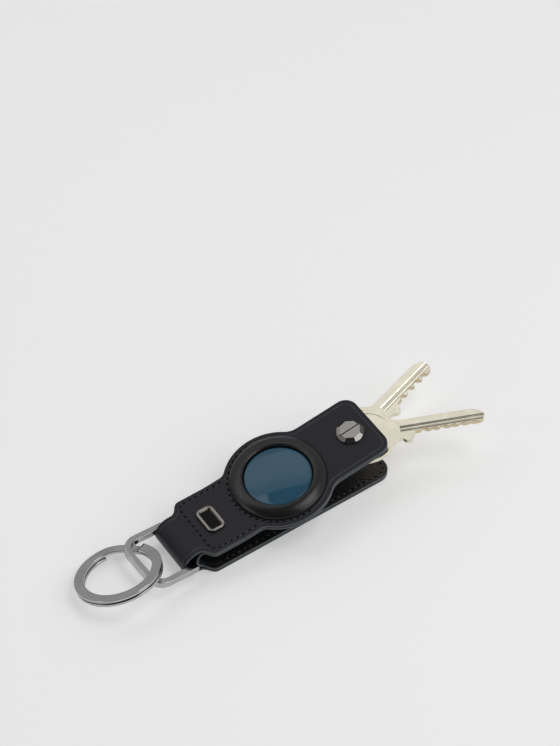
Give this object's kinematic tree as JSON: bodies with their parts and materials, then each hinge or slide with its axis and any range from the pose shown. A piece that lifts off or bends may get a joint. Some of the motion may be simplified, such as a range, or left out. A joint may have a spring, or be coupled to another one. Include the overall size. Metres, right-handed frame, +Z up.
{
  "type": "folding leather key case with tracker holder",
  "caption": "Folding leather key case: keys pivot on a binding screw under the cover, a round tracker snaps into a raised ring, and a D-ring in the fold carries a split ring.",
  "frame": {"origin": "on the underside of the lower cover, on the centre line, below the tracker", "axes": "+X along the case from the fold to the keys, +Z up through the covers"},
  "size_m": [0.1763, 0.0478, 0.0234],
  "materials": {
    "leather": "smooth black full-grain leather, satin, slate edge paint",
    "lining": "black lining leather, matt",
    "holder": "moulded charcoal ring, satin",
    "tracker": "petrol blue, high gloss",
    "gunmetal": "polished gunmetal plating",
    "key": "nickel silver, brushed faces and cut edges",
    "steel": "bright steel",
    "plastic": "dark moulded plastic",
    "brass": "bright brass",
    "board": "green solder mask"
  },
  "bodies": {
    "lower_case": {"lower_cover": "leather", "lower_lining": "lining"},
    "upper_case": {"upper_cover": "leather", "upper_lining": "lining", "strap_plate": "gunmetal", "tracker_holder": "holder", "screw_post": "gunmetal", "top_washer": "steel", "middle_washer": "steel"},
    "screw": {"binding_screw": "gunmetal"},
    "key_a": {"key_a": "key"},
    "key_b": {"key_b": "key"},
    "tracker": {"tracker_front": "tracker", "cell_frame": "plastic", "coin_cell": "steel", "battery_contact": "brass", "circuit_board": "board", "sounder": "brass"},
    "battery_door": {"battery_door": "steel"},
    "d_ring": {"d_ring": "gunmetal"},
    "split_ring": {"split_ring": "gunmetal"}
  },
  "joints": [
    {"name": "cover_fold", "type": "hinge", "parent": "lower_case", "child": "upper_case", "pos_m": [-0.052, 0, 0.00643], "axis": [0, -1, 0], "range_deg": [-3, 75]},
    {"name": "key_a_swing", "type": "hinge", "parent": "upper_case", "child": "key_a", "pos_m": [0.03532, 0, 0.01575], "axis": [-0.1271, 0, 0.9919], "range_deg": [-152, 207]},
    {"name": "key_b_swing", "type": "hinge", "parent": "upper_case", "child": "key_b", "pos_m": [0.03572, 0, 0.01267], "axis": [-0.1271, 0, 0.9919], "range_deg": [-190, 165]},
    {"name": "screw_turn", "type": "hinge", "parent": "upper_case", "child": "screw", "pos_m": [0.03471, 0, 0.02051], "axis": [-0.1271, 0, 0.9919], "continuous": true},
    {"name": "tracker_push", "type": "slide", "parent": "upper_case", "child": "tracker", "axis": [-0.1271, 0, 0.9919], "range_m": [0, 0.006]},
    {"name": "door_twist", "type": "hinge", "parent": "tracker", "child": "battery_door", "pos_m": [0.00016, 0, 0.01396], "axis": [-0.1271, 0, 0.9919], "range_deg": [0, 25]},
    {"name": "d_ring_swing", "type": "hinge", "parent": "lower_case", "child": "d_ring", "pos_m": [-0.04835, 0, 0.00643], "axis": [-0.0384, 0.9993, 0], "range_deg": [-75, 3]},
    {"name": "split_ring_roll", "type": "hinge", "parent": "d_ring", "child": "split_ring", "pos_m": [-0.0745, 0.00135, 0.00785], "axis": [-0.9983, 0, -0.0576], "range_deg": [0, 130]}
  ]
}
